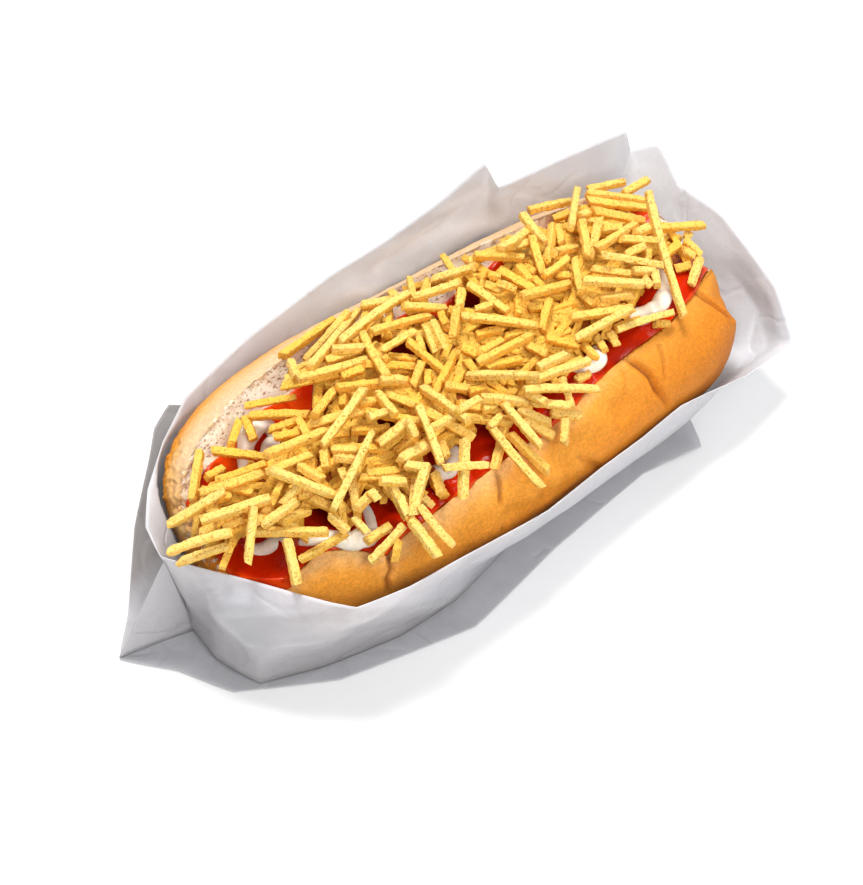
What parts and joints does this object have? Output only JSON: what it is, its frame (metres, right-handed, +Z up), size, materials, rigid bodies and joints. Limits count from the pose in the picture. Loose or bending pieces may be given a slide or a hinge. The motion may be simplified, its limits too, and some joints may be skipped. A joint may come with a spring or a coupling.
{
  "type": "hot dog",
  "caption": "Soft split hot dog bun with ketchup, mayonnaise and a heap of shoestring fries, lying in an open greaseproof paper bag.",
  "frame": {"origin": "on the flat underside of the paper bag, below the middle of the bun", "axes": "+X along the bun towards its squarer end, -Y towards the side that lies lower in the bag, +Z up"},
  "size_m": [0.1996, 0.0915, 0.0588],
  "materials": {
    "bread": "soft browned crust and cream crumb",
    "ketchup": "wet and glossy",
    "mayonnaise": "creamy, glossy",
    "fries": "dry and crisp, with fine brown specks",
    "paper": "greaseproof, faintly waxy and see-through"
  },
  "bodies": {
    "root": {"bun": "bread", "ketchup": "ketchup", "mayonnaise": "mayonnaise", "fries": "fries", "paper": "paper"}
  },
  "joints": []
}
